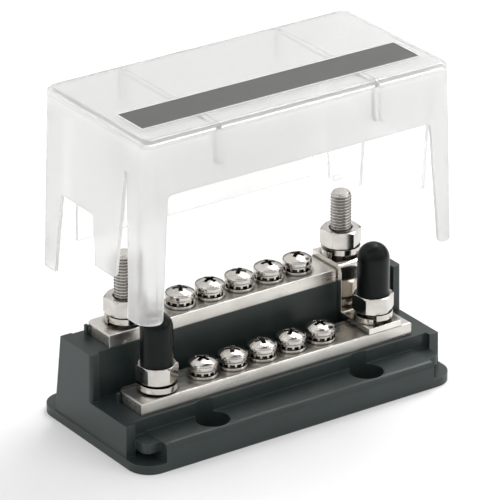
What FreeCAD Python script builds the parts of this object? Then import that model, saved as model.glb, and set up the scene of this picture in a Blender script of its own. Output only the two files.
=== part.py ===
# Two level bus bar with a clear cover, millimetres.
# Origin at the middle of the base's underside, X along the bars, Y to the tall rear tier, Z up.
import FreeCAD, Part
import math
import os
import re
import Sketcher

doc = FreeCAD.newDocument("BusBar")
sheet = doc.addObject("Spreadsheet::Sheet", "sizes")

# Driving dimensions
sizes = [
    # moulded base
    ("plateLength", 175.0), ("plateDepth", 87.5), ("plateThick", 4.3), ("plateCorner", 11.0),
    ("lowTop", 19.8), ("tallTop", 43.4), ("ledgeShare", 0.4242424), ("lowDepth", 29.0), ("tallDepth", 25.5),
    ("backSlant", 4.6), ("endInset", 0.6), ("endDraft", 0.7), ("postWidth", 5.1),
    ("lowRecess", 2.9), ("riserRecess", 1.95), ("backRecess", 1.0), ("backWeb", 1.4), ("riserRound", 1.8),
    ("footInset", 13.5), ("footTop", 13.2), ("footRound", 3.0),
    ("snapBottom", 7.8), ("snapDrop", 0.7), ("snapInset", 5.8), ("snapRound", 3.4),
    ("mountSide", 44.7), ("mountInset", 10.35), ("mountHole", 6.6), ("headWell", 16.2),
    ("wellFloor", 4.8),
    ("coreInset", 0.8), ("coreWall", 4.0), ("coreRoof", 9.0),
    # bars
    ("barInset", 12.5), ("barWidth", 20.0), ("barThick", 6.0), ("barCorner", 4.0), ("barEdge", 0.7),
    ("frontBarSet", 2.35), ("rearBarSet", 0.3), ("locatorThick", 1.5), ("locatorDepth", 1.8),
    ("locatorDrop", 0.8), ("locatorGap", 0.3), ("locatorBack", 1.8),
    ("studInset", 15.0), ("screwShare", 0.1358333), ("screwShift", 2.6),
    # link plate
    ("linkWidth", 18.4), ("linkThick", 3.0), ("linkBend", 1.3), ("linkGap", 0.5), ("linkSet", 0.3),
    # studs, nuts and spring washers
    ("studDia", 10.0), ("studRise", 34.0), ("studWell", 9.8), ("studTip", 1.1), ("studClear", 0.25),
    ("hexFlats", 17.0), ("headHigh", 6.4), ("nutHigh", 8.2), ("hexChamfer", 1.0), ("nutBore", 0.05),
    ("nutCone", 0.6),
    ("springOuter", 18.6), ("springWidth", 3.9), ("springThick", 2.8), ("springRise", 1.8),
    ("springTurn", 350.0),
    # rubber boots
    ("bootDia", 15.1), ("bootHigh", 25.1), ("bootBore", 0.06), ("bootDepth", 22.6),
    # terminal screws and their washers
    ("screwDia", 6.0), ("screwClear", 0.06), ("shankLength", 14.0), ("headDia", 14.0), ("headRim", 2.6),
    ("headRise", 4.9), ("headRound", 1.5), ("headUnder", 0.8), ("crossLength", 7.0), ("crossWidth", 2.0), ("crossDepth", 3.0),
    ("screwTip", 0.8), ("pilotDepth", 5.5), ("pilotRoom", 0.4),
    ("washerDia", 14.2), ("washerThick", 1.5), ("toothDia", 12.6), ("toothThick", 2.3), ("toothCut", 2.0),
    ("toothSlot", 2.3), ("toothHigh", 1.4), ("toothCount", 12.0), ("washerBore", 0.3),
    # clear cover
    ("coverInset", 2.0), ("coverMargin", 0.1), ("coverTop", 91.5), ("coverFoot", 4.8),
    ("coverDraft", 2.9),
    ("coverCorner", 7.5), ("coverWall", 1.8), ("coverLid", 2.8), ("coverEdge", 2.6), ("coverLift", 68.5),
    ("frontEdge", 64.3), ("legTip", 9.8), ("legRoot", 14.4), ("legFillet", 2.4),
    ("skirtInset", 22.1), ("skirtGap", 0.6), ("skirtLift", 5.0), ("slotTop", 73.5), ("sideGap", 0.4),
    ("endGap", 0.6),
    ("slitWidth", 1.6), ("slitLean", 2.7), ("flapWidth", 18.4), ("flapLow", 2.0),
    ("flapChamfer", 1.5), ("lipReach", 1.3), ("lipInset", 1.2),
    ("ribInset", 42.8), ("ribThick", 2.8), ("ribDeep", 1.5), ("ribDrop", 16.7), ("ribReach", 3.0),
    # label on the lid
    ("labelInset", 10.3), ("labelWidth", 20.6), ("labelThick", 0.3), ("labelShift", 17.5),
]
for row, (name, value) in enumerate(sizes, start=1):
    sheet.set("A%d" % row, name)
    sheet.set("B%d" % row, str(value))
    sheet.setAlias("B%d" % row, name)
doc.recompute()

# Lengths, heights and depths that follow from the sizes, each written once as a formula
shared = {
    "footLength": "plateLength - 2 * footInset",
    "mountSpacing": "plateLength - 2 * mountSide",
    "coreLength": "mountSpacing - 2 * coreInset",
    "barLength": "plateLength - 2 * barInset",
    "studSpacing": "barLength - 2 * studInset",
    "screwPitch": "studSpacing * screwShare",
    "coverLength": "plateLength - 2 * coverInset",
    "coverDepth": "plateDepth - 2 * coverMargin",
    "backSkirt": "plateLength - 2 * skirtInset",
    "ribSpacing": "coverLength - 2 * ribInset",
    "labelLength": "coverLength - 2 * labelInset",
    "frontLedge": "(plateDepth - lowDepth - tallDepth) * ledgeShare",
    "snapReach": "frontLedge - snapInset",
    "frontY": "-plateDepth / 2 + frontLedge",
    "riserY": "frontY + lowDepth",
    "backY": "riserY + tallDepth",
    "frontBarY": "frontY + lowRecess + frontBarSet",
    "rearBarY": "riserY + riserRecess + rearBarSet",
    "frontRowY": "frontBarY + barWidth / 2",
    "rearRowY": "rearBarY + barWidth / 2",
    "lowBarTop": "lowTop + barThick",
    "tallBarTop": "tallTop + barThick",
    "endX": "plateLength / 2 - endInset",
    "postX": "endX - postWidth",
    "springHigh": "springThick + springRise",
    "stackHigh": "springHigh + nutHigh",
    "mountY": "plateDepth / 2 - mountInset",
    "studHole": "studDia / 2 + studClear",
    "screwHole": "screwDia / 2 + screwClear",
}
names = [name for name, number in sizes]


def bind(formula):
    # spells out the shared formulas and points every size at its cell
    def spell(match):
        word = match.group()
        if word in shared:
            return "(" + bind(shared[word]) + ")"
        return "sizes." + word if word in names else word
    return re.sub("[A-Za-z]+", spell, formula)


def value(formula):
    result = sheet.evalExpression(bind(formula))
    return float(getattr(result, "Value", result))


def new_body(name, x="0", y="0", z="0", turn=0.0):
    body = doc.addObject("PartDesign::Body", name)
    body.Label = name
    spin = FreeCAD.Rotation(FreeCAD.Vector(0, 0, 1), turn)
    body.Placement = FreeCAD.Placement(FreeCAD.Vector(0, 0, 0), spin)
    for axis, formula in (("x", x), ("y", y), ("z", z)):
        body.setExpression("Placement.Base." + axis, bind(formula))
    return body


def origin_plane(body, role):
    return [f for f in body.Origin.OriginFeatures if f.Role == role][0]


def pin_point(sketch, geo, pos, x, y):
    # ties one point of the sketch to two formulas, measured from the sketch origin
    for kind, formula in (("DistanceX", x), ("DistanceY", y)):
        i = sketch.addConstraint(Sketcher.Constraint(kind, -1, 1, geo, pos, value(formula)))
        sketch.setExpression("Constraints[%d]" % i, bind(formula))


def new_sketch(body, name, plane="XY_Plane", offset="0"):
    sketch = body.newObject("Sketcher::SketchObject", name)
    sketch.AttachmentSupport = [(origin_plane(body, plane), "")]
    sketch.MapMode = "FlatFace"
    sketch.setExpression("AttachmentOffset.Base.z", bind(offset))
    return sketch


def add_circle(sketch, x, y, radius):
    centre = FreeCAD.Vector(value(x), value(y), 0)
    geo = sketch.addGeometry(Part.Circle(centre, FreeCAD.Vector(0, 0, 1), value(radius)), False)
    pin_point(sketch, geo, 3, x, y)
    i = sketch.addConstraint(Sketcher.Constraint("Radius", geo, value(radius)))
    sketch.setExpression("Constraints[%d]" % i, bind(radius))


def add_outline(sketch, corners):
    # a closed loop: each corner is (x, y), or (x, y, "arc") where an arc centred on x = 0 follows it
    points = [FreeCAD.Vector(value(c[0]), value(c[1]), 0) for c in corners]
    first = None
    last = None
    for i, corner in enumerate(corners):
        a = points[i]
        b = points[(i + 1) % len(points)]
        if len(corner) > 2:
            cy = (b.y ** 2 + b.x ** 2 - a.y ** 2 - a.x ** 2) / (2 * (b.y - a.y))
            centre = FreeCAD.Vector(0, cy, 0)
            radius = (a - centre).Length
            start = math.atan2(a.y - cy, a.x)
            end = math.atan2(b.y - cy, b.x)
            circle = Part.Circle(centre, FreeCAD.Vector(0, 0, 1), radius)
            geo = sketch.addGeometry(Part.ArcOfCircle(circle, start, end), False)
            sketch.addConstraint(Sketcher.Constraint("PointOnObject", geo, 3, -2))
        else:
            geo = sketch.addGeometry(Part.LineSegment(a, b), False)
        pin_point(sketch, geo, 1, corner[0], corner[1])
        if last is not None:
            sketch.addConstraint(Sketcher.Constraint("Coincident", last, 2, geo, 1))
        else:
            first = geo
        last = geo
    sketch.addConstraint(Sketcher.Constraint("Coincident", last, 2, first, 1))


def add_box(sketch, x0, y0, x1, y1):
    add_outline(sketch, [(x0, y0), (x1, y0), (x1, y1), (x0, y1)])


def add_round_box(sketch, half_x, half_y, radius):
    # a rectangle about the origin with its corners rounded by tangent arcs
    hx = value(half_x)
    hy = value(half_y)
    r = value(radius)
    arcs = []
    for k, (sx, sy) in enumerate(((1, 1), (-1, 1), (-1, -1), (1, -1))):
        circle = Part.Circle(FreeCAD.Vector(sx * (hx - r), sy * (hy - r), 0), FreeCAD.Vector(0, 0, 1), r)
        arc = sketch.addGeometry(Part.ArcOfCircle(circle, k * math.pi / 2, (k + 1) * math.pi / 2), False)
        signs = ["" if side > 0 else "-" for side in (sx, sy)]
        x, y = ["%s(%s - %s)" % (sign, half, radius) for sign, half in zip(signs, (half_x, half_y))]
        pin_point(sketch, arc, 3, x, y)
        i = sketch.addConstraint(Sketcher.Constraint("Radius", arc, r))
        sketch.setExpression("Constraints[%d]" % i, bind(radius))
        arcs.append(arc)
    for k in range(4):
        a = sketch.Geometry[arcs[k]].EndPoint
        b = sketch.Geometry[arcs[(k + 1) % 4]].StartPoint
        line = sketch.addGeometry(Part.LineSegment(a, b), False)
        sketch.addConstraint(Sketcher.Constraint("Tangent", arcs[k], 2, line, 1))
        sketch.addConstraint(Sketcher.Constraint("Tangent", line, 2, arcs[(k + 1) % 4], 1))


def pad(body, sketch, length, both=False):
    feature = body.newObject("PartDesign::Pad", sketch.Name + "Pad")
    feature.Profile = sketch
    feature.setExpression("Length", bind(length))
    feature.Midplane = both
    doc.recompute()
    return feature


def pocket(body, sketch, depth=None, up=False, both=False):
    # cuts down from the sketch, or up when told to; with no depth it goes right through
    before = body.Shape.Volume
    feature = body.newObject("PartDesign::Pocket", sketch.Name + "Cut")
    feature.Profile = sketch
    if depth is None:
        feature.Type = "ThroughAll"
    else:
        feature.setExpression("Length", bind(depth))
    feature.Reversed = up
    feature.Midplane = both
    doc.recompute()
    if body.Shape.Volume >= before - 1e-6:
        raise RuntimeError(sketch.Name + " removed nothing")
    return feature


def edges_where(body, test):
    # names of the edges whose middle point and direction pass the test
    names = []
    for i, edge in enumerate(body.Shape.Edges, start=1):
        if edge.Degenerated:
            continue
        middle = edge.valueAt((edge.FirstParameter + edge.LastParameter) / 2)
        along = edge.tangentAt((edge.FirstParameter + edge.LastParameter) / 2)
        middle = body.Placement.inverse().multVec(middle)
        along = body.Placement.Rotation.inverted().multVec(along)
        if test(middle, along, edge):
            names.append("Edge%d" % i)
    if not names:
        raise RuntimeError(body.Name + " has no such edge")
    return names


def round_edges(body, name, radius, test):
    feature = body.newObject("PartDesign::Fillet", name)
    feature.Base = (body.Tip if body.Tip != feature else feature.BaseFeature, edges_where(body, test))
    feature.setExpression("Radius", bind(radius))
    doc.recompute()
    return feature


def break_edges(body, name, width, test):
    feature = body.newObject("PartDesign::Chamfer", name)
    feature.Base = (body.Tip if body.Tip != feature else feature.BaseFeature, edges_where(body, test))
    feature.setExpression("Size", bind(width))
    doc.recompute()
    return feature


def revolve(body, sketch, cut=False):
    before = body.Shape.Volume if cut else 0
    kind = "Groove" if cut else "Revolution"
    feature = body.newObject("PartDesign::" + kind, sketch.Name + kind)
    feature.Profile = sketch
    feature.ReferenceAxis = (sketch, ["V_Axis"])
    feature.Angle = 360
    doc.recompute()
    if cut and body.Shape.Volume >= before - 1e-6:
        raise RuntimeError(sketch.Name + " removed nothing")
    return feature


def hexagon(flats, x="0", y="0", turn=30.0):
    corners = []
    for k in range(6):
        a = math.radians(60 * k + turn)
        reach = "(%s) / %.6f" % (flats, math.sqrt(3))
        along = "%s + %.6f * %s" % (x, math.cos(a), reach)
        across = "%s + %.6f * %s" % (y, math.sin(a), reach)
        corners.append((along, across))
    return corners


near = lambda a, b, room=0.02: abs(a - b) < room


def build_base():
    body = new_body("base")
    plate = new_sketch(body, "plate")
    add_box(plate, "-plateLength / 2", "-plateDepth / 2", "plateLength / 2", "plateDepth / 2")
    pad(body, plate, "plateThick")
    upright = lambda p, t, e: near(abs(t.z), 1) and near(abs(p.x), value("plateLength") / 2)
    round_edges(body, "plateCorners", "plateCorner", upright)

    # stepped block from end to end, its back face leaning out to the foot
    step = new_sketch(body, "step", "YZ_Plane")
    add_outline(step, [
        ("frontY", "0"), ("backY + backSlant", "0"), ("backY + backSlant", "plateThick"),
        ("backY", "tallTop"), ("riserY", "tallTop"), ("riserY", "lowTop"), ("frontY", "lowTop"),
    ])
    pad(body, step, "2 * endX", both=True)

    # the ends lean in a little so that the moulding leaves its tool
    lean = new_sketch(body, "lean", "XZ_Plane")
    for side in ("", "-"):
        add_outline(lean, [
            (side + "endX", "plateThick"), (side + "(endX + 1)", "plateThick"),
            (side + "(endX + 1)", "tallTop + 1"), (side + "(endX - endDraft)", "tallTop + 1"),
        ])
    pocket(body, lean, "2 * plateDepth", both=True)

    # faces set back between the end posts
    recess = new_sketch(body, "recess", "YZ_Plane")
    add_box(recess, "frontY - 1", "plateThick", "frontY + lowRecess", "lowTop + 1")
    add_box(recess, "riserY - 1", "lowTop", "riserY + riserRecess", "tallTop + 1")
    pocket(body, recess, "2 * postX", both=True)
    hollow = new_sketch(body, "hollow", "YZ_Plane")
    add_outline(hollow, [
        ("backY + backSlant - backRecess", "plateThick"), ("backY + backSlant + 1", "plateThick"),
        ("backY + 1", "tallTop + 1"), ("backY - backRecess", "tallTop + 1"),
        ("backY - backRecess", "tallTop"),
    ])
    pocket(body, hollow, "2 * (postX - backWeb)", both=True)

    # the tall tier's front corners are rounded
    nose = lambda p, t, e: abs(t.z) > 0.9 and near(p.y, value("riserY")) and abs(p.x) > value("postX + 1")
    round_edges(body, "riserNose", "riserRound", nose)

    # thick feet along the front and the back
    foot = new_sketch(body, "foot")
    add_box(foot, "-footLength / 2", "-plateDepth / 2", "footLength / 2", "frontY + lowRecess + 1")
    add_box(foot, "-footLength / 2", "backY - backRecess - 1", "footLength / 2", "plateDepth / 2")
    pad(body, foot, "footTop")
    edge_y = value("-plateDepth / 2")
    brow = lambda p, t, e: near(abs(t.x), 1) and near(p.z, value("footTop")) and near(p.y, edge_y)
    round_edges(body, "footBrow", "footRound", brow)
    rebate = new_sketch(body, "rebate", offset="footTop")
    add_box(rebate, "-backSkirt / 2 - skirtGap", "plateDepth / 2 - coverWall - 3 * skirtGap",
            "backSkirt / 2 + skirtGap", "plateDepth / 2 + 1")
    pocket(body, rebate, "footTop - coverFoot - skirtLift")

    # snap blocks in the four corner pockets, open underneath for the legs of the cover
    snap = new_sketch(body, "snap", offset="snapBottom")
    for side in ("", "-"):
        inner = side + "(footLength / 2 - 1)"
        add_box(snap, inner, "frontY - snapReach", side + "postX", "frontY + lowRecess + 1")
        add_box(snap, inner, "backY", side + "postX", "snapReach - frontY")
    pad(body, snap, "footTop - snapDrop - snapBottom")
    tip_y = value("snapReach - frontY")
    inner = value("footLength / 2")
    tip = lambda p, t, e: near(abs(t.z), 1) and near(abs(p.y), tip_y) and abs(p.x) > inner + 1
    round_edges(body, "snapCorners", "snapRound", tip)

    # lips that hold the left back corner of each bar
    for name, seat, y in (("lowLip", "lowTop", "frontBarY + barWidth - locatorBack"),
                          ("tallLip", "tallTop", "rearBarY + barWidth - locatorBack")):
        lip = new_sketch(body, name, offset=seat)
        left = "-barLength / 2 - locatorGap"
        add_box(lip, left + " - locatorThick", y + " - locatorDepth", left, y)
        pad(body, lip, "barThick - locatorDrop")

    # mounting holes with a well for the screw head, open upwards for the driver
    for name, y, top in (("frontWells", "-mountY", "lowTop"), ("backWells", "mountY", "tallTop")):
        wells = new_sketch(body, name, offset=top)
        for side in ("-", ""):
            add_circle(wells, side + "mountSpacing / 2", y, "headWell / 2")
        pocket(body, wells, top + " - wellFloor")
    mounts = new_sketch(body, "mounts", offset="plateDepth")
    for side in ("-", ""):
        for y in ("-mountY", "mountY"):
            add_circle(mounts, side + "mountSpacing / 2", y, "mountHole / 2")
    pocket(body, mounts)

    # hexagon wells under the studs and the stud holes above them
    for name, y, top in (("lowStuds", "frontRowY", "lowTop"), ("tallStuds", "rearRowY", "tallTop")):
        wells = new_sketch(body, name + "Hex")
        for side in ("-", ""):
            add_outline(wells, hexagon("(hexFlats + 2 * studClear)", side + "studSpacing / 2", y, 0.0))
        pocket(body, wells, "studWell", up=True)
        holes = new_sketch(body, name + "Hole", offset=top)
        for side in ("-", ""):
            add_circle(holes, side + "studSpacing / 2", y, "studHole")
        pocket(body, holes, top + " - studWell + 1")

    # blind holes under the terminal screws
    for name, y, top, shift in (("lowPilots", "frontRowY", "lowTop", "-screwShift"),
                                ("tallPilots", "rearRowY", "tallTop", "screwShift")):
        pilots = new_sketch(body, name, offset=top)
        for k in range(-2, 3):
            add_circle(pilots, "%s + %d * screwPitch" % (shift, k), y, "screwHole + pilotRoom")
        pocket(body, pilots, "pilotDepth")

    # hollows that keep the moulding's walls even
    for name, y0, y1, top in (("lowCore", "frontY + lowRecess + coreWall", "riserY - coreWall", "lowTop"),
                              ("tallCore", "riserY + coreWall", "backY - coreWall", "tallTop")):
        core = new_sketch(body, name)
        add_box(core, "-coreLength / 2", y0, "coreLength / 2", y1)
        pocket(body, core, top + " - coreRoof", up=True)
    return body


def build_bar(name, y, z, shift):
    body = new_body(name, "0", y, z)
    plan = new_sketch(body, name + "Plan")
    add_box(plan, "-barLength / 2", "0", "barLength / 2", "barWidth")
    pad(body, plan, "barThick")
    back = lambda p, t, e: near(abs(t.z), 1) and near(p.y, value("barWidth"))
    round_edges(body, name + "Corners", "barCorner", back)
    rim = lambda p, t, e: near(p.z, value("barThick"))
    round_edges(body, name + "Rim", "barEdge", rim)
    holes = new_sketch(body, name + "Holes", offset="barThick")
    for side in ("-", ""):
        add_circle(holes, side + "studSpacing / 2", "barWidth / 2", "studHole")
    for k in range(-2, 3):
        add_circle(holes, "%s + %d * screwPitch" % (shift, k), "barWidth / 2", "screwHole")
    pocket(body, holes)
    return body


def build_link():
    body = new_body("link_plate", "studSpacing / 2")
    front = "riserY + riserRecess - linkThick - linkSet"
    side = new_sketch(body, "linkSide", "YZ_Plane")
    add_outline(side, [
        ("rearBarY + barWidth - linkGap", "tallBarTop + linkThick"), (front, "tallBarTop + linkThick"),
        (front, "lowBarTop + linkThick"), ("frontBarY", "lowBarTop + linkThick"), ("frontBarY", "lowBarTop"),
        (front + " + linkThick", "lowBarTop"), (front + " + linkThick", "tallBarTop"),
        ("rearBarY + barWidth - linkGap", "tallBarTop"),
    ])
    pad(body, side, "linkWidth", both=True)
    face = value(front)
    inner = lambda p, t, e: near(abs(t.x), 1) and (
        (near(p.y, face) and near(p.z, value("lowBarTop + linkThick")))
        or (near(p.y, face + value("linkThick")) and near(p.z, value("tallBarTop"))))
    round_edges(body, "linkInner", "linkBend", inner)
    outer = lambda p, t, e: near(abs(t.x), 1) and (
        (near(p.y, face) and near(p.z, value("tallBarTop + linkThick")))
        or (near(p.y, face + value("linkThick")) and near(p.z, value("lowBarTop"))))
    round_edges(body, "linkOuter", "linkBend + linkThick", outer)
    holes = new_sketch(body, "linkHoles", offset="plateDepth")
    for y in ("frontRowY", "rearRowY"):
        add_circle(holes, "0", y, "studHole")
    pocket(body, holes)
    return body


def chamfer_hex(body, name, high, both):
    # turns the corners of a hexagon down to a cone
    cone = new_sketch(body, name, "XZ_Plane")
    wide = "hexFlats * 0.6"
    add_outline(cone, [("hexFlats / 2", high), (wide, high + " - hexChamfer"), (wide, high + " + 0.1"),
                       ("hexFlats / 2", high + " + 0.1")])
    if both:
        add_outline(cone, [("hexFlats / 2", "0"), ("hexFlats / 2", "-0.1"), (wide, "-0.1"),
                           (wide, "hexChamfer")])
    revolve(body, cone, cut=True)


def build_stud(name, x, y, top):
    body = new_body(name, x, y, "studWell - headHigh")
    head = new_sketch(body, name + "Head")
    add_outline(head, hexagon("hexFlats", turn=0.0))
    pad(body, head, "headHigh")
    shank = new_sketch(body, name + "Shank", offset="headHigh")
    add_circle(shank, "0", "0", "studDia / 2")
    length = top + " - studWell + barThick + studRise"
    pad(body, shank, length)
    end = value("headHigh + " + length)
    break_edges(body, name + "Tip", "studTip", lambda p, t, e: near(p.z, end))
    return body


def build_nut(name, x, y, seat, turn):
    body = new_body(name, x, y, seat + " + springHigh", turn)
    hex_ = new_sketch(body, name + "Hex")
    add_outline(hex_, hexagon("hexFlats", turn=0.0))
    add_circle(hex_, "0", "0", "studDia / 2 + nutBore")
    pad(body, hex_, "nutHigh")
    chamfer_hex(body, name + "Cone", "nutHigh", True)
    mouth = value("studDia / 2 + nutBore")
    lip = lambda p, t, e: e.Curve.TypeId == "Part::GeomCircle" and near(e.Curve.Radius, mouth)
    break_edges(body, name + "Mouth", "nutCone", lip)
    return body


def build_spring(name, x, y, seat, turn):
    body = new_body(name, x, y, seat, turn)
    cut = new_sketch(body, name + "Section", "XZ_Plane")
    add_box(cut, "springOuter / 2 - springWidth", "0", "springOuter / 2", "springThick")
    coil = body.newObject("PartDesign::AdditiveHelix", name + "Coil")
    coil.Profile = cut
    coil.ReferenceAxis = (cut, ["V_Axis"])
    coil.Mode = "height-turns-angle"
    coil.LeftHanded = True
    coil.setExpression("Height", bind("springRise"))
    coil.setExpression("Turns", bind("springTurn / 360"))
    doc.recompute()
    return body


def build_boot(name, x, seat):
    body = new_body(name, x, "frontRowY", seat)
    half = new_sketch(body, name + "Half", "XZ_Plane")
    add_outline(half, [
        ("studDia / 2 + bootBore", "0"), ("bootDia / 2", "0"),
        ("bootDia / 2", "bootHigh - bootDia / 2", "arc"), ("0", "bootHigh"),
        ("0", "bootDepth"), ("studDia / 2 + bootBore", "bootDepth - 1"),
    ])
    revolve(body, half)
    return body


def build_screw(name, x, y, seat, turn):
    body = new_body(name, x, y, seat + " + washerThick + toothThick", turn)
    half = new_sketch(body, name + "Half", "XZ_Plane")
    add_outline(half, [
        ("0", "-shankLength"), ("screwDia / 2 - screwTip", "-shankLength"),
        ("screwDia / 2", "-shankLength + screwTip"),
        ("screwDia / 2", "0"), ("headDia / 2", "0"), ("headDia / 2", "headRim", "arc"), ("0", "headRise"),
    ])
    revolve(body, half)
    brow = lambda p, t, e: near(p.z, value("headRim")) and near(math.hypot(p.x, p.y), value("headDia") / 2)
    round_edges(body, name + "Brow", "headRound", brow)
    under = lambda p, t, e: near(p.z, 0) and near(math.hypot(p.x, p.y), value("headDia") / 2)
    round_edges(body, name + "Under", "headUnder", under)
    cross = new_sketch(body, name + "Cross", offset="headRise")
    arm = "crossLength / 2"
    web = "crossWidth / 2"
    add_outline(cross, [
        (arm, "-" + web), (arm, web), (web, web), (web, arm), ("-" + web, arm), ("-" + web, web),
        ("-" + arm, web), ("-" + arm, "-" + web), ("-" + web, "-" + web), ("-" + web, "-" + arm),
        (web, "-" + arm), (web, "-" + web),
    ])
    pocket(body, cross, "crossDepth")
    return body


def build_flat_washer(name, x, y, seat):
    body = new_body(name, x, y, seat)
    ring = new_sketch(body, name + "Ring")
    add_circle(ring, "0", "0", "washerDia / 2")
    add_circle(ring, "0", "0", "screwDia / 2 + washerBore")
    pad(body, ring, "washerThick")
    return body


def build_tooth_washer(name, x, y, seat, turn):
    body = new_body(name, x, y, seat + " + washerThick", turn)
    ring = new_sketch(body, name + "Ring")
    add_circle(ring, "0", "0", "toothDia / 2")
    add_circle(ring, "0", "0", "screwDia / 2 + washerBore")
    pad(body, ring, "toothThick")
    slot = new_sketch(body, name + "Slot", offset="toothHigh")
    add_box(slot, "toothDia / 2 - toothCut", "-toothSlot / 2", "toothDia / 2 + 1", "toothSlot / 2")
    cut = pocket(body, slot)
    around = body.newObject("PartDesign::PolarPattern", name + "Teeth")
    around.Originals = [cut]
    around.Axis = (slot, ["N_Axis"])
    around.Angle = 360
    body.Tip = around
    around.setExpression("Occurrences", bind("toothCount"))
    doc.recompute()
    return body


def build_cover():
    # drawn in its seated place, then lifted clear as a whole
    body = new_body("cover", z="coverLift")
    for name, inset, top in (("shell", "0", "coverTop"), ("room", "coverWall", "coverTop - coverLid")):
        low = new_sketch(body, name + "Low", offset="coverFoot")
        add_round_box(low, "(coverLength / 2 - %s)" % inset, "(coverDepth / 2 - %s)" % inset,
                      "(coverCorner - %s)" % inset)
        high = "%s - coverFoot" % top
        feature = pad(body, low, high) if name == "shell" else pocket(body, low, high, up=True)
        feature.setExpression("TaperAngle", bind("-atan(coverDraft / (%s))" % high))
        doc.recompute()
        x = value("coverLength / 2 - coverDraft / 2 - " + inset)
        rim = lambda p, t, e: near(p.z, value(top)) and abs(p.x) < x
        round_edges(body, name + "Rim", "coverEdge - %s / 1.5" % inset, rim)

    # front left open between the legs
    front = new_sketch(body, "front", "XZ_Plane")
    add_outline(front, [
        ("-(coverLength / 2 - legTip)", "coverFoot - 1"), ("coverLength / 2 - legTip", "coverFoot - 1"),
        ("coverLength / 2 - legRoot", "frontEdge"), ("-(coverLength / 2 - legRoot)", "frontEdge"),
    ])
    pocket(body, front, "plateDepth", up=True)
    root = value("coverLength / 2 - legRoot")
    brow = lambda p, t, e: near(abs(t.y), 1) and near(abs(p.x), root) and near(p.z, value("frontEdge"))
    round_edges(body, "frontRound", "legFillet", brow)

    # back skirt between two slots
    back = new_sketch(body, "back", "XZ_Plane")
    skirt = "backSkirt / 2"
    hem = "coverFoot + skirtLift + sideGap"
    add_outline(back, [
        ("-(coverLength / 2 - legTip)", "coverFoot - 1"), ("coverLength / 2 - legTip", "coverFoot - 1"),
        ("coverLength / 2 - legRoot", "slotTop"), (skirt, "slotTop"), (skirt, hem),
        ("-" + skirt, hem), ("-" + skirt, "slotTop"), ("-(coverLength / 2 - legRoot)", "slotTop"),
    ])
    pocket(body, back, "plateDepth")

    # the ends: a slit behind each front leg, a flap over the low tier, an opening over the tall tier
    ends = new_sketch(body, "ends", "YZ_Plane")
    leg = "frontY - sideGap"
    flap = "riserY - sideGap"
    add_outline(ends, [
        (leg, "coverFoot - 1"), ("backY + backSlant + sideGap", "coverFoot - 1"),
        ("backY + sideGap", "tallTop + endGap"), (flap, "tallTop + endGap"),
        (flap + " - flapLow", "lowTop + sideGap"), (flap + " - flapWidth + flapChamfer", "lowTop + sideGap"),
        (flap + " - flapWidth", "lowTop + sideGap + flapChamfer"),
        (leg + " + slitLean + slitWidth", "slotTop"), (leg + " + slitLean", "slotTop"),
        (leg, "lowTop + sideGap"),
    ])
    pocket(body, ends, "2 * plateLength", both=True)

    # the inner corner of each leg tip is rounded
    tip = lambda p, t, e: near(abs(t.y), 1) and near(p.z, value("coverFoot")) and near(
        abs(p.x), value("coverLength / 2 - legTip"), 0.1)
    round_edges(body, "legTips", "legFillet", tip)

    # catch lips inside the leg tips
    lips = new_sketch(body, "lips", offset="coverFoot")
    for side in ("", "-"):
        for face in ("", "-"):
            add_box(lips, side + "(coverLength / 2 - legTip + lipInset)",
                    face + "(coverDepth / 2 - coverWall / 2)",
                    side + "(postX - 1)", face + "(coverDepth / 2 - coverWall - lipReach)")
    pad(body, lips, "snapBottom - coverFoot - sideGap")

    # ribs across under the lid and a little way down both walls
    for side, name in (("-", "leftRib"), ("", "rightRib")):
        rib = new_sketch(body, name, "YZ_Plane", side + "ribSpacing / 2 - ribThick / 2")
        out = "(coverDepth / 2 - coverDraft - coverWall / 2)"
        inside = "(coverDepth / 2 - coverDraft - coverWall - ribReach)"
        under = "coverTop - coverLid - ribDeep"
        low = "coverTop - coverLid - ribDrop"
        add_outline(rib, [
            ("-" + out, "coverTop - coverLid / 2"), ("-" + out, low), ("-" + inside, low),
            ("-" + inside, under), (inside, under), (inside, low), (out, low),
            (out, "coverTop - coverLid / 2"),
        ])
        pad(body, rib, "ribThick")
    return body


def build_label():
    body = new_body("label", "0", "-labelShift", "coverTop + coverLift")
    plan = new_sketch(body, "labelPlan")
    add_box(plan, "-labelLength / 2", "-labelWidth / 2", "labelLength / 2", "labelWidth / 2")
    pad(body, plan, "labelThick")
    corner = lambda p, t, e: near(abs(t.z), 1)
    round_edges(body, "labelCorners", "3 * labelThick", corner)
    return body


bodies = [build_base()]
bodies.append(build_bar("front_bar", "frontBarY", "lowTop", "-screwShift"))
bodies.append(build_bar("rear_bar", "rearBarY", "tallTop", "screwShift"))
bodies.append(build_link())

# one stud, spring washer and nut at each end of each bar, the right-hand ones over the link plate
ends = [
    ("front_left", "-", "frontRowY", "lowTop", "lowBarTop", 33.0, 60.0),
    ("front_right", "", "frontRowY", "lowTop", "lowBarTop + linkThick", 35.0, -125.0),
    ("rear_left", "-", "rearRowY", "tallTop", "tallBarTop", 33.0, 178.0),
    ("rear_right", "", "rearRowY", "tallTop", "tallBarTop + linkThick", 33.0, -152.0),
]
for name, side, y, deck, seat, nut_turn, spring_turn in ends:
    x = side + "studSpacing / 2"
    bodies.append(build_stud(name + "_stud", x, y, deck))
    bodies.append(build_spring(name + "_spring_washer", x, y, seat, spring_turn))
    bodies.append(build_nut(name + "_nut", x, y, seat, nut_turn))
    if name.startswith("front"):
        bodies.append(build_boot(name + "_boot", x, seat + " + stackHigh"))

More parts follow.
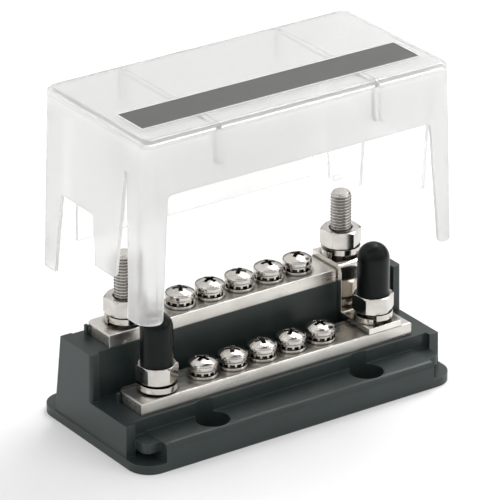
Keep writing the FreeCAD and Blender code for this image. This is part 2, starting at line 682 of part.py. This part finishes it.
# five terminal screws on each bar, each left at its own angle
rows = [
    ("front", "frontRowY", "lowBarTop", "-screwShift", (20.0, 52.0, 75.0, 38.0, 8.0)),
    ("rear", "rearRowY", "tallBarTop", "screwShift", (64.0, 15.0, 44.0, 81.0, 30.0)),
]
for row, y, seat, shift, turns in rows:
    for k, turn in enumerate(turns):
        x = "%s + %d * screwPitch" % (shift, k - 2)
        tag = "%s_%%s_%d" % (row, k + 1)
        bodies.append(build_flat_washer(tag % "flat_washer", x, y, seat))
        bodies.append(build_tooth_washer(tag % "lock_washer", x, y, seat, turn / 2))
        bodies.append(build_screw(tag % "screw", x, y, seat, turn))

bodies.append(build_cover())
bodies.append(build_label())
doc.recompute()

os.makedirs("parts", exist_ok=True)
for item in doc.Objects:
    if "Invalid" in item.State or "Error" in item.State:
        raise RuntimeError("failed: " + item.Name)
for body in bodies:
    if body.Shape.isNull() or not body.Shape.isValid():
        raise RuntimeError("bad shape: " + body.Label)
    body.Shape.exportStep("parts/%s.step" % body.Label)
print(len(bodies), "pieces written")
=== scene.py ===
import math
import bmesh
import bpy
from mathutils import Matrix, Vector


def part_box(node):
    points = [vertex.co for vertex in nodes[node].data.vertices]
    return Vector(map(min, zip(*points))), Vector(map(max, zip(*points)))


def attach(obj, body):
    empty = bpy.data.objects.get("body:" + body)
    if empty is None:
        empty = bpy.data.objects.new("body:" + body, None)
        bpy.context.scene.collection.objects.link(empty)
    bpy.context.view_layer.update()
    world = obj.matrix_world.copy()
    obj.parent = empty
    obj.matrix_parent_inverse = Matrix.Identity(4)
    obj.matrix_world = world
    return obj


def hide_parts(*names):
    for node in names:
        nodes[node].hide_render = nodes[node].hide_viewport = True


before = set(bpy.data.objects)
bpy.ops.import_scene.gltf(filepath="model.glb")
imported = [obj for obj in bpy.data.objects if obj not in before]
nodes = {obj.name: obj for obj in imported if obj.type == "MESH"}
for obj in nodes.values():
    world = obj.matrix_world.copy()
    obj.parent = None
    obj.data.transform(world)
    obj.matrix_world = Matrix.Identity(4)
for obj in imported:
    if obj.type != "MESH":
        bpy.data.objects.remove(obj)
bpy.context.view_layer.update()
mm = 0.001
print("frame loaded:", len(nodes), "pieces")


# small helpers for shader trees

def addNode(tree, kind, spot, **settings):
    node = tree.nodes.new(kind)
    node.location = spot
    for name, value in settings.items():
        setattr(node, name, value)
    return node


def setValues(node, **values):
    for name, value in values.items():
        node.inputs[name.replace("_", " ")].default_value = value


def newGroup(name, inputs, outputs):
    group = bpy.data.node_groups.new(name, "ShaderNodeTree")
    for socket, default in inputs.items():
        kind = "NodeSocketVector" if isinstance(default, tuple) else "NodeSocketFloat"
        item = group.interface.new_socket(socket, in_out="INPUT", socket_type=kind)
        item.default_value = default
    for socket, kind in outputs.items():
        group.interface.new_socket(socket, in_out="OUTPUT", socket_type=kind)
    return group, addNode(group, "NodeGroupInput", (-900, 0)), addNode(group, "NodeGroupOutput", (900, 0))


def useGroup(tree, group, spot, **values):
    node = addNode(tree, "ShaderNodeGroup", spot, node_tree=group)
    setValues(node, **values)
    return node


def makeEdgeGroup():
    # 1 along sharp edges, 0 on flat faces, from the difference of a rounded normal and the true one; it lays
    # a painted highlight along edges
    group, start, end = newGroup("edgeHighlight", {"Radius": 0.0005, "Strength": 6.0}, {"Mask": "NodeSocketFloat"})
    bevel = addNode(group, "ShaderNodeBevel", (-600, 100), samples=6)
    true = addNode(group, "ShaderNodeNewGeometry", (-600, -100))
    dot = addNode(group, "ShaderNodeVectorMath", (-350, 0), operation="DOT_PRODUCT")
    flip = addNode(group, "ShaderNodeMath", (-120, 0), operation="SUBTRACT", use_clamp=True)
    flip.inputs[0].default_value = 1.0
    gain = addNode(group, "ShaderNodeMath", (120, 0), operation="MULTIPLY", use_clamp=True)
    group.links.new(start.outputs["Radius"], bevel.inputs["Radius"])
    group.links.new(bevel.outputs[0], dot.inputs[0])
    group.links.new(true.outputs["Normal"], dot.inputs[1])
    group.links.new(dot.outputs["Value"], flip.inputs[1])
    group.links.new(flip.outputs[0], gain.inputs[0])
    group.links.new(start.outputs["Strength"], gain.inputs[1])
    group.links.new(gain.outputs[0], end.inputs["Mask"])
    return group


def makeGrainGroup():
    # fine spark-eroded tool texture and slow cloudy tone, in object space
    group, start, end = newGroup("mouldGrain", {"Fine": 2600.0, "Slow": 60.0},
                                 {"Height": "NodeSocketFloat", "Tone": "NodeSocketFloat"})
    place = addNode(group, "ShaderNodeTexCoord", (-700, 0))
    fine = addNode(group, "ShaderNodeTexNoise", (-400, 120))
    slow = addNode(group, "ShaderNodeTexNoise", (-400, -140))
    setValues(fine, Detail=3.0, Roughness=0.6)
    setValues(slow, Detail=4.0, Roughness=0.55)
    for noise, size, out in ((fine, "Fine", "Height"), (slow, "Slow", "Tone")):
        group.links.new(place.outputs["Object"], noise.inputs["Vector"])
        group.links.new(start.outputs[size], noise.inputs["Scale"])
        group.links.new(noise.outputs["Fac"], end.inputs[out])
    return group


def makeStreakGroup():
    # drawn and wiped metal: noise pulled out along one direction, with cloudy patches
    group, start, end = newGroup("metalStreak", {"Stretch": (40.0, 900.0, 900.0), "Cloud": 90.0},
                                 {"Streak": "NodeSocketFloat", "Patch": "NodeSocketFloat"})
    place = addNode(group, "ShaderNodeTexCoord", (-700, 0))
    scale = addNode(group, "ShaderNodeVectorMath", (-500, 120), operation="MULTIPLY")
    streak = addNode(group, "ShaderNodeTexNoise", (-250, 120))
    cloud = addNode(group, "ShaderNodeTexNoise", (-250, -140))
    setValues(streak, Scale=1.0, Detail=5.0, Roughness=0.65)
    setValues(cloud, Detail=3.0, Roughness=0.5)
    group.links.new(place.outputs["Object"], scale.inputs[0])
    group.links.new(start.outputs["Stretch"], scale.inputs[1])
    group.links.new(scale.outputs[0], streak.inputs["Vector"])
    group.links.new(place.outputs["Object"], cloud.inputs["Vector"])
    group.links.new(start.outputs["Cloud"], cloud.inputs["Scale"])
    group.links.new(streak.outputs["Fac"], end.inputs["Streak"])
    group.links.new(cloud.outputs["Fac"], end.inputs["Patch"])
    return group


def makeCreviceGroup():
    # 1 deep in gaps and corners, 0 on open faces, from occlusion; it lays painted shade into gaps and corners
    group, start, end = newGroup("creviceShade", {"Reach": 0.0012, "Strength": 1.5}, {"Mask": "NodeSocketFloat"})
    shade = addNode(group, "ShaderNodeAmbientOcclusion", (-600, 0), samples=8)
    flip = addNode(group, "ShaderNodeMath", (-300, 0), operation="SUBTRACT", use_clamp=True)
    flip.inputs[0].default_value = 1.0
    gain = addNode(group, "ShaderNodeMath", (0, 0), operation="MULTIPLY", use_clamp=True)
    group.links.new(start.outputs["Reach"], shade.inputs["Distance"])
    group.links.new(shade.outputs["AO"], flip.inputs[1])
    group.links.new(flip.outputs[0], gain.inputs[0])
    group.links.new(start.outputs["Strength"], gain.inputs[1])
    group.links.new(gain.outputs[0], end.inputs["Mask"])
    return group


edgeHighlight = makeEdgeGroup()
creviceShade = makeCreviceGroup()
mouldGrain = makeGrainGroup()
metalStreak = makeStreakGroup()


def newMaterial(name, look):
    material = bpy.data.materials.new(name)
    material.use_nodes = True
    tree = material.node_tree
    shader = tree.nodes["Principled BSDF"]
    shader.location = (600, 0)
    tree.nodes["Material Output"].location = (900, 0)
    setValues(shader, Metallic=look.get("metallic", 0.0), IOR=look.get("ior", 1.5))
    return material, tree, shader


def rampBetween(tree, spot, low, high, lowAt=0.3, highAt=0.7):
    ramp = addNode(tree, "ShaderNodeValToRGB", spot)
    ramp.color_ramp.elements[0].position = lowAt
    ramp.color_ramp.elements[1].position = highAt
    ramp.color_ramp.elements[0].color = (*low, 1)
    ramp.color_ramp.elements[1].color = (*high, 1)
    return ramp


def roundedBump(tree, height, strength, distance, radius):
    # bump over a normal that is softened at the edges
    bevel = addNode(tree, "ShaderNodeBevel", (150, -420), samples=6)
    bevel.inputs["Radius"].default_value = radius
    bump = addNode(tree, "ShaderNodeBump", (380, -320))
    setValues(bump, Strength=strength, Distance=distance)
    tree.links.new(height, bump.inputs["Height"])
    tree.links.new(bevel.outputs[0], bump.inputs["Normal"])
    return bump.outputs[0]


baseLook = {
    "dark": (0.0160, 0.0260, 0.0245),
    "light": (0.0230, 0.0350, 0.0330),
    # painted highlight: pale colour laid along sharp edges
    "edge": (0.085, 0.105, 0.100),
    "roughness": (0.38, 0.46),
    "grain": 0.10,
    "edgeRadius": 0.6 * mm,
}


def makeBasePlastic(look):
    material, tree, shader = newMaterial("basePlastic", look)
    grain = useGroup(tree, mouldGrain, (-700, 0), Fine=2400.0, Slow=55.0)
    tone = rampBetween(tree, (-400, 200), look["dark"], look["light"])
    # painted highlight: sharp edges mixed towards the pale edge colour
    edge = useGroup(tree, edgeHighlight, (-400, -150), Radius=look["edgeRadius"], Strength=3.0)
    mix = addNode(tree, "ShaderNodeMix", (50, 150), data_type="RGBA")
    mix.inputs["B"].default_value = (*look["edge"], 1)
    rough = addNode(tree, "ShaderNodeMapRange", (50, -120))
    setValues(rough, To_Min=look["roughness"][0], To_Max=look["roughness"][1])
    tree.links.new(grain.outputs["Tone"], tone.inputs[0])
    tree.links.new(tone.outputs[0], mix.inputs["A"])
    tree.links.new(edge.outputs["Mask"], mix.inputs["Factor"])
    tree.links.new(mix.outputs["Result"], shader.inputs["Base Color"])
    tree.links.new(grain.outputs["Tone"], rough.inputs["Value"])
    tree.links.new(rough.outputs[0], shader.inputs["Roughness"])
    normal = roundedBump(tree, grain.outputs["Height"], look["grain"], 0.15 * mm, look["edgeRadius"])
    tree.links.new(normal, shader.inputs["Normal"])
    return material


# painted highlight: pale colour laid along sharp edges of the metal
metalEdgeHighlight = (0.93, 0.92, 0.90)
# painted shade: dark colour laid into gaps, recesses and corners
metalPaintedShade = (0.045, 0.040, 0.036)
metalLooks = {
    "bar": {"low": (0.64, 0.61, 0.565), "high": (0.80, 0.775, 0.73), "roughness": (0.25, 0.35),
            "stretch": (12.0, 700.0, 500.0), "cloud": 45.0, "bump": 0.03, "edgeRadius": 0.35 * mm,
            "gapReach": 1.6 * mm, "gapStrength": 1.3},
    "link": {"low": (0.66, 0.62, 0.56), "high": (0.80, 0.765, 0.71), "roughness": (0.13, 0.20),
             "stretch": (700.0, 12.0, 30.0), "cloud": 60.0, "bump": 0.02, "edgeRadius": 0.4 * mm,
             "gapReach": 1.6 * mm, "gapStrength": 1.3},
    "steel": {"low": (0.50, 0.475, 0.445), "high": (0.66, 0.63, 0.595), "roughness": (0.11, 0.18),
              "stretch": (300.0, 300.0, 900.0), "cloud": 130.0, "bump": 0.015, "edgeRadius": 0.25 * mm,
              "gapReach": 1.4 * mm, "gapStrength": 1.6},
}


def makeMetal(name, look):
    look["metallic"] = 1.0
    material, tree, shader = newMaterial(name, look)
    streak = useGroup(tree, metalStreak, (-700, 0), Stretch=look["stretch"], Cloud=look["cloud"])
    tone = rampBetween(tree, (-400, 200), look["low"], look["high"], 0.25, 0.6)
    # painted highlight along sharp edges
    edge = useGroup(tree, edgeHighlight, (-400, -400), Radius=look["edgeRadius"], Strength=2.5)
    mix = addNode(tree, "ShaderNodeMix", (50, 150), data_type="RGBA")
    mix.inputs["B"].default_value = (*metalEdgeHighlight, 1)
    rough = addNode(tree, "ShaderNodeMapRange", (50, -120))
    setValues(rough, From_Min=0.3, From_Max=0.7, To_Min=look["roughness"][0], To_Max=look["roughness"][1])
    tree.links.new(streak.outputs["Patch"], tone.inputs[0])
    tree.links.new(tone.outputs[0], mix.inputs["A"])
    tree.links.new(edge.outputs["Mask"], mix.inputs["Factor"])
    # painted shade: gaps, recesses and corners darkened by the occlusion mask
    gap = useGroup(tree, creviceShade, (50, 450), Reach=look["gapReach"], Strength=look["gapStrength"])
    paintedShade = addNode(tree, "ShaderNodeMix", (300, 250), data_type="RGBA")
    paintedShade.inputs["B"].default_value = (*metalPaintedShade, 1)
    tree.links.new(gap.outputs["Mask"], paintedShade.inputs["Factor"])
    tree.links.new(mix.outputs["Result"], paintedShade.inputs["A"])
    tree.links.new(paintedShade.outputs["Result"], shader.inputs["Base Color"])
    tree.links.new(streak.outputs["Streak"], rough.inputs["Value"])
    tree.links.new(rough.outputs[0], shader.inputs["Roughness"])
    normal = roundedBump(tree, streak.outputs["Streak"], look["bump"], 0.1 * mm, look["edgeRadius"])
    tree.links.new(normal, shader.inputs["Normal"])
    return material


bootLook = {"dark": (0.0020, 0.0034, 0.0034), "light": (0.0048, 0.0072, 0.0072), "roughness": (0.24, 0.34),
            "grain": 0.08, "ior": 1.28}


def makeBootRubber(look):
    material, tree, shader = newMaterial("bootRubber", look)
    grain = useGroup(tree, mouldGrain, (-700, 0), Fine=1800.0, Slow=160.0)
    tone = rampBetween(tree, (-400, 200), look["dark"], look["light"])
    rough = addNode(tree, "ShaderNodeMapRange", (50, -120))
    setValues(rough, To_Min=look["roughness"][0], To_Max=look["roughness"][1])
    tree.links.new(grain.outputs["Tone"], tone.inputs[0])
    tree.links.new(tone.outputs[0], shader.inputs["Base Color"])
    tree.links.new(grain.outputs["Tone"], rough.inputs["Value"])
    tree.links.new(rough.outputs[0], shader.inputs["Roughness"])
    normal = roundedBump(tree, grain.outputs["Height"], look["grain"], 0.1 * mm, 0.4 * mm)
    tree.links.new(normal, shader.inputs["Normal"])
    return material


coverLook = {
    "clear": (0.985, 0.985, 0.98),
    "milk": (0.95, 0.95, 0.945),
    "milkShare": (0.34, 0.24),
    "lidFrom": 3.2 * mm,
    "roughness": (0.10, 0.20),
    "ior": 1.49,
}


def makeCoverPlastic(look):
    # clear resin with a faint milky scatter and a lightly textured skin
    material, tree, shader = newMaterial("coverPlastic", look)
    grain = useGroup(tree, mouldGrain, (-700, 0), Fine=1500.0, Slow=45.0)
    rough = addNode(tree, "ShaderNodeMapRange", (50, -120))
    setValues(rough, To_Min=look["roughness"][0], To_Max=look["roughness"][1])
    setValues(shader, Transmission_Weight=1.0)
    shader.inputs["Base Color"].default_value = (*look["clear"], 1)
    tree.links.new(grain.outputs["Tone"], rough.inputs["Value"])
    tree.links.new(rough.outputs[0], shader.inputs["Roughness"])
    bump = addNode(tree, "ShaderNodeBump", (380, -320))
    setValues(bump, Strength=0.05, Distance=0.1 * mm)
    tree.links.new(grain.outputs["Height"], bump.inputs["Height"])
    tree.links.new(bump.outputs[0], shader.inputs["Normal"])
    milk = addNode(tree, "ShaderNodeBsdfTranslucent", (600, -500))
    milk.inputs["Color"].default_value = (*look["milk"], 1)
    mix = addNode(tree, "ShaderNodeMixShader", (850, -200))
    # the lid is clearer than the walls and legs
    place = addNode(tree, "ShaderNodeTexCoord", (-200, -600))
    split = addNode(tree, "ShaderNodeSeparateXYZ", (0, -600))
    above = addNode(tree, "ShaderNodeMapRange", (250, -600))
    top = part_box("cover")[1][2]
    setValues(above, From_Min=top - look["lidFrom"] - mm, From_Max=top - look["lidFrom"],
              To_Min=look["milkShare"][0], To_Max=look["milkShare"][1])
    tree.links.new(place.outputs["Object"], split.inputs[0])
    tree.links.new(split.outputs["Z"], above.inputs["Value"])
    tree.links.new(above.outputs[0], mix.inputs[0])
    tree.links.new(shader.outputs[0], mix.inputs[1])
    tree.links.new(milk.outputs[0], mix.inputs[2])
    tree.links.new(mix.outputs[0], tree.nodes["Material Output"].inputs["Surface"])
    return material


labelLook = {"field": (0.080, 0.080, 0.077), "border": (0.78, 0.78, 0.78), "borderWidth": 0.5 * mm,
             "roughness": 0.45}


def makeLabelFilm(look):
    # dark printed field inside a thin pale border, placed from the label's own box
    material, tree, shader = newMaterial("labelFilm", look)
    low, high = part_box("label")
    centre = [(a + b) / 2 for a, b in zip(low, high)]
    place = addNode(tree, "ShaderNodeTexCoord", (-1100, 0))
    split = addNode(tree, "ShaderNodeSeparateXYZ", (-900, 0))
    tree.links.new(place.outputs["Object"], split.inputs[0])
    reach = None
    for axis, name in ((0, "X"), (1, "Y")):
        half = (high[axis] - low[axis]) / 2
        shift = addNode(tree, "ShaderNodeMath", (-700, -200 * axis), operation="SUBTRACT")
        shift.inputs[1].default_value = centre[axis]
        size = addNode(tree, "ShaderNodeMath", (-540, -200 * axis), operation="ABSOLUTE")
        edge = addNode(tree, "ShaderNodeMath", (-380, -200 * axis), operation="SUBTRACT")
        edge.inputs[0].default_value = half
        tree.links.new(split.outputs[name], shift.inputs[0])
        tree.links.new(shift.outputs[0], size.inputs[0])
        tree.links.new(size.outputs[0], edge.inputs[1])
        if reach is None:
            reach = edge
        else:
            nearest = addNode(tree, "ShaderNodeMath", (-200, -100), operation="MINIMUM")
            tree.links.new(reach.outputs[0], nearest.inputs[0])
            tree.links.new(edge.outputs[0], nearest.inputs[1])
            reach = nearest
    inside = addNode(tree, "ShaderNodeMath", (-20, -100), operation="LESS_THAN")
    inside.inputs[1].default_value = look["borderWidth"]
    tree.links.new(reach.outputs[0], inside.inputs[0])
    grain = useGroup(tree, mouldGrain, (-300, 300), Fine=1500.0, Slow=120.0)
    field = rampBetween(tree, (-20, 300), look["field"], [v * 1.12 for v in look["field"]])
    tree.links.new(grain.outputs["Tone"], field.inputs[0])
    mix = addNode(tree, "ShaderNodeMix", (300, 100), data_type="RGBA")
    mix.inputs["B"].default_value = (*look["border"], 1)
    tree.links.new(inside.outputs[0], mix.inputs["Factor"])
    tree.links.new(field.outputs[0], mix.inputs["A"])
    tree.links.new(mix.outputs["Result"], shader.inputs["Base Color"])
    setValues(shader, Roughness=look["roughness"])
    return material


materials = {
    "base": makeBasePlastic(baseLook),
    "bar": makeMetal("barMetal", metalLooks["bar"]),
    "link": makeMetal("linkMetal", metalLooks["link"]),
    "steel": makeMetal("fastenerSteel", metalLooks["steel"]),
    "boot": makeBootRubber(bootLook),
    "cover": makeCoverPlastic(coverLook),
    "label": makeLabelFilm(labelLook),
}
print("materials made:", len(materials))


def materialFor(node):
    for word in ("boot", "cover", "label", "base", "link"):
        if word in node:
            return materials[word]
    return materials["bar"] if node.endswith("bar") else materials["steel"]


for name, part in nodes.items():
    part.data.materials.clear()
    part.data.materials.append(materialFor(name))
print("carried-over pieces painted")


threadLook = {"headHigh": 6.4 * mm, "major": 4.98 * mm, "minor": 4.22 * mm, "pitch": 1.5 * mm,
              "columns": 44, "rowsPerTurn": 8,
              "tipLength": 1.6 * mm, "tipShrink": 1.15 * mm, "threadLength": 44.0 * mm}


def threadRadius(look, height, angle, top):
    # a rounded sixty degree profile that fades out at the chamfered tip
    phase = (height / look["pitch"] - angle / (2 * math.pi)) % 1.0
    slope = abs(2.0 * phase - 1.0)
    crest = min(1.0, max(0.0, (slope - 0.12) / 0.72))
    radius = look["minor"] + (look["major"] - look["minor"]) * crest
    down = top - height
    if down < look["tipLength"]:
        radius = min(radius, look["major"] - look["tipShrink"] * (1.0 - down / look["tipLength"]))
    return radius


def makeStud(node, look):
    # hexagon head and a threaded shank in place of the plain one
    low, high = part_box(node)
    x, y = (low[0] + high[0]) / 2, (low[1] + high[1]) / 2
    mesh = bmesh.new()
    columns = look["columns"]
    start = high[2] - look["threadLength"]
    headTop = low[2] + look["headHigh"]
    rows = int((high[2] - start) / look["pitch"] * look["rowsPerTurn"])
    rings = []
    for r in range(rows + 1):
        height = start + (high[2] - start) * r / rows
        ring = []
        for c in range(columns):
            angle = 2 * math.pi * c / columns
            radius = threadRadius(look, height, angle, high[2])
            ring.append(mesh.verts.new((x + radius * math.cos(angle), y + radius * math.sin(angle), height)))
        rings.append(ring)
    for lower, upper in zip(rings, rings[1:]):
        for c in range(columns):
            d = (c + 1) % columns
            mesh.faces.new((lower[c], lower[d], upper[d], upper[c]))
    mesh.faces.new(rings[-1])
    # plain shank down to the head
    neck = [mesh.verts.new((v.co.x, v.co.y, headTop)) for v in rings[0]]
    for c in range(columns):
        d = (c + 1) % columns
        mesh.faces.new((neck[c], neck[d], rings[0][d], rings[0][c]))
    mesh.faces.new(list(reversed(neck)))
    # head, with its corner along x
    reach = (high[0] - low[0]) / 2
    hexTop = [mesh.verts.new((x + reach * math.cos(k * math.pi / 3), y + reach * math.sin(k * math.pi / 3),
                              headTop)) for k in range(6)]
    hexLow = [mesh.verts.new((v.co.x, v.co.y, low[2])) for v in hexTop]
    mesh.faces.new(hexTop)
    mesh.faces.new(list(reversed(hexLow)))
    for k in range(6):
        n = (k + 1) % 6
        mesh.faces.new((hexLow[k], hexLow[n], hexTop[n], hexTop[k]))
    bmesh.ops.recalc_face_normals(mesh, faces=mesh.faces)
    data = bpy.data.meshes.new(node + "_threaded")
    mesh.to_mesh(data)
    mesh.free()
    for face in data.polygons:
        face.use_smooth = len(face.vertices) == 4 and abs(face.normal.z) < 0.95 and face.center.z > start - mm
    piece = bpy.data.objects.new(node + "_threaded", data)
    bpy.context.collection.objects.link(piece)
    data.materials.append(materials["steel"])
    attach(piece, "bus_bar")
    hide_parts(node)
    return piece


for end in ("front_left", "front_right", "rear_left", "rear_right"):
    makeStud(end + "_stud", threadLook)
print("studs threaded")


stageLook = {"floorSize": 12.0, "floorTone": 0.86, "floorGlow": 0.10, "worldLight": 0.80,
             # height of the direction seen in a reflection, then its tone
             "mirrorBand": ((0.0, 0.85), (0.03, 0.12), (0.16, 0.16), (0.30, 0.62), (0.55, 1.0), (0.8, 0.55),
                            (1.0, 0.45))}


def makeFloor(look):
    mesh = bmesh.new()
    bmesh.ops.create_grid(mesh, x_segments=1, y_segments=1, size=look["floorSize"] / 2)
    data = bpy.data.meshes.new("floor")
    mesh.to_mesh(data)
    mesh.free()
    floor = bpy.data.objects.new("floor", data)
    floor.location = (0, 0, -0.05 * mm)
    bpy.context.collection.objects.link(floor)
    material = bpy.data.materials.new("floorPaper")
    material.use_nodes = True
    tree = material.node_tree
    tree.nodes.clear()
    paper = addNode(tree, "ShaderNodeBsdfDiffuse", (0, 100))
    paper.inputs["Color"].default_value = (look["floorTone"],) * 3 + (1,)
    glow = addNode(tree, "ShaderNodeEmission", (0, -100))
    path = addNode(tree, "ShaderNodeLightPath", (-600, -100))
    seen = seenBy(tree, path)
    strength = addNode(tree, "ShaderNodeMath", (-180, -100), operation="MULTIPLY")
    strength.inputs[1].default_value = look["floorGlow"]
    tree.links.new(seen, strength.inputs[0])
    tree.links.new(strength.outputs[0], glow.inputs["Strength"])
    add = addNode(tree, "ShaderNodeAddShader", (250, 0))
    out = addNode(tree, "ShaderNodeOutputMaterial", (450, 0))
    tree.links.new(paper.outputs[0], add.inputs[0])
    tree.links.new(glow.outputs[0], add.inputs[1])
    tree.links.new(add.outputs[0], out.inputs["Surface"])
    data.materials.append(material)


def seenBy(tree, path):
    # 1 for camera, mirror and see-through rays
    first = addNode(tree, "ShaderNodeMath", (-420, 0), operation="ADD", use_clamp=True)
    second = addNode(tree, "ShaderNodeMath", (-300, 0), operation="ADD", use_clamp=True)
    tree.links.new(path.outputs["Is Camera Ray"], first.inputs[0])
    tree.links.new(path.outputs["Is Glossy Ray"], first.inputs[1])
    tree.links.new(first.outputs[0], second.inputs[0])
    tree.links.new(path.outputs["Is Transmission Ray"], second.inputs[1])
    return second.outputs[0]


def makeWorld(look):
    # white studio: a plain fill for light, white for whatever is seen, with a darker band for metal to show
    world = bpy.data.worlds.new("studio")
    bpy.context.scene.world = world
    world.use_nodes = True
    tree = world.node_tree
    tree.nodes.clear()
    place = addNode(tree, "ShaderNodeTexCoord", (-900, 200))
    split = addNode(tree, "ShaderNodeSeparateXYZ", (-700, 200))
    band = addNode(tree, "ShaderNodeValToRGB", (-500, 200))
    stops = band.color_ramp.elements
    first, last = look["mirrorBand"][0], look["mirrorBand"][-1]
    for stop, (at, tone) in zip(stops, (first, last)):
        stop.position = at
        stop.color = (tone, tone, tone, 1)
    for at, tone in look["mirrorBand"][1:-1]:
        stop = stops.new(at)
        stop.color = (tone, tone, tone, 1)
    path = addNode(tree, "ShaderNodeLightPath", (-900, -150))
    fill = addNode(tree, "ShaderNodeBackground", (-100, -100))
    fill.inputs["Color"].default_value = (1, 1, 1, 1)
    fill.inputs["Strength"].default_value = look["worldLight"]
    mirror = addNode(tree, "ShaderNodeBackground", (-100, 100))
    white = addNode(tree, "ShaderNodeBackground", (-100, 250))
    white.inputs["Color"].default_value = (1, 1, 1, 1)
    glossy = addNode(tree, "ShaderNodeMixShader", (150, 0))
    seen = addNode(tree, "ShaderNodeMath", (-300, -300), operation="ADD", use_clamp=True)
    final = addNode(tree, "ShaderNodeMixShader", (350, 0))
    out = addNode(tree, "ShaderNodeOutputWorld", (550, 0))
    tree.links.new(place.outputs["Generated"], split.inputs[0])
    tree.links.new(split.outputs["Z"], band.inputs[0])
    tree.links.new(band.outputs[0], mirror.inputs["Color"])
    tree.links.new(path.outputs["Is Glossy Ray"], glossy.inputs[0])
    tree.links.new(fill.outputs[0], glossy.inputs[1])
    tree.links.new(mirror.outputs[0], glossy.inputs[2])
    tree.links.new(path.outputs["Is Camera Ray"], seen.inputs[0])
    tree.links.new(path.outputs["Is Transmission Ray"], seen.inputs[1])
    tree.links.new(seen.outputs[0], final.inputs[0])
    tree.links.new(glossy.outputs[0], final.inputs[1])
    tree.links.new(white.outputs[0], final.inputs[2])
    tree.links.new(final.outputs[0], out.inputs["Surface"])


lampLooks = {
    "topLamp": {"place": (0.55, 0.25, 1.0), "size": 0.6, "power": 7.0},
    "leftLamp": {"place": (-1.1, -0.2, 0.8), "size": 0.7, "power": 1.2},
    "rightLamp": {"place": (1.0, -0.9, 0.6), "size": 0.6, "power": 1.5},
}


def makeLamps(looks):
    for name, look in looks.items():
        data = bpy.data.lights.new(name, "AREA")
        data.size = look["size"]
        data.energy = look["power"]
        lamp = bpy.data.objects.new(name, data)
        lamp.location = look["place"]
        aim = Vector((0, 0, 0.06)) - Vector(look["place"])
        lamp.rotation_euler = aim.to_track_quat("-Z", "Y").to_euler()
        bpy.context.collection.objects.link(lamp)


cameraLook = {"place": (-1.0297, -1.4923, 0.8989), "turn": 325.37, "rise": 24.49, "lens": 315.2,
              "shiftX": -0.0003, "shiftY": 0.0}


def makeCamera(look):
    data = bpy.data.cameras.new("camera")
    data.lens = look["lens"]
    data.sensor_width = 36.0
    data.shift_x = look["shiftX"]
    data.shift_y = look["shiftY"]
    data.clip_end = 50.0
    camera = bpy.data.objects.new("camera", data)
    turn = math.radians(look["turn"])
    rise = math.radians(look["rise"])
    back = Vector((math.sin(turn) * math.cos(rise), -math.cos(turn) * math.cos(rise), math.sin(rise)))
    camera.location = look["place"]
    camera.rotation_mode = "QUATERNION"
    camera.rotation_quaternion = (-back).to_track_quat("-Z", "Y")
    bpy.context.collection.objects.link(camera)
    bpy.context.scene.camera = camera


makeFloor(stageLook)
makeWorld(stageLook)
makeLamps(lampLooks)
makeCamera(cameraLook)
bpy.context.scene.view_settings.view_transform = "Standard"
print("stage, lamps and camera set")
